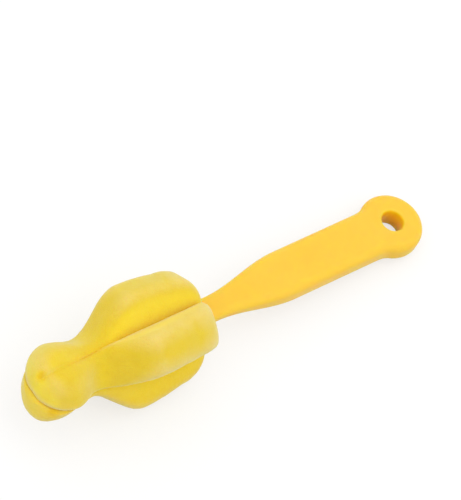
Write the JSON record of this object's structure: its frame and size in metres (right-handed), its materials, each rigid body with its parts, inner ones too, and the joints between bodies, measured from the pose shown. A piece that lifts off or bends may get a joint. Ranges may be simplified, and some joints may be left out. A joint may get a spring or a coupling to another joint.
{
  "type": "foam bottle brush",
  "caption": "Hand brush for washing bottles and cups: a flat moulded handle with a hanging hole, and a bottle-shaped head of two lobed foam slabs on a barbed spine.",
  "frame": {"origin": "middle of the hanging hole, on its axis and at half the handle's thickness", "axes": "+X runs along the brush from the hanging hole to the tip of the foam head, +Z along the hanging hole and square to the handle's flat face"},
  "size_m": [0.2104, 0.0436, 0.0492],
  "materials": {
    "handle_plastic": "satin",
    "head_foam": "matte"
  },
  "bodies": {
    "root": {"handle": "handle_plastic", "upper_foam_slab": "head_foam", "lower_foam_slab": "head_foam"}
  },
  "joints": []
}
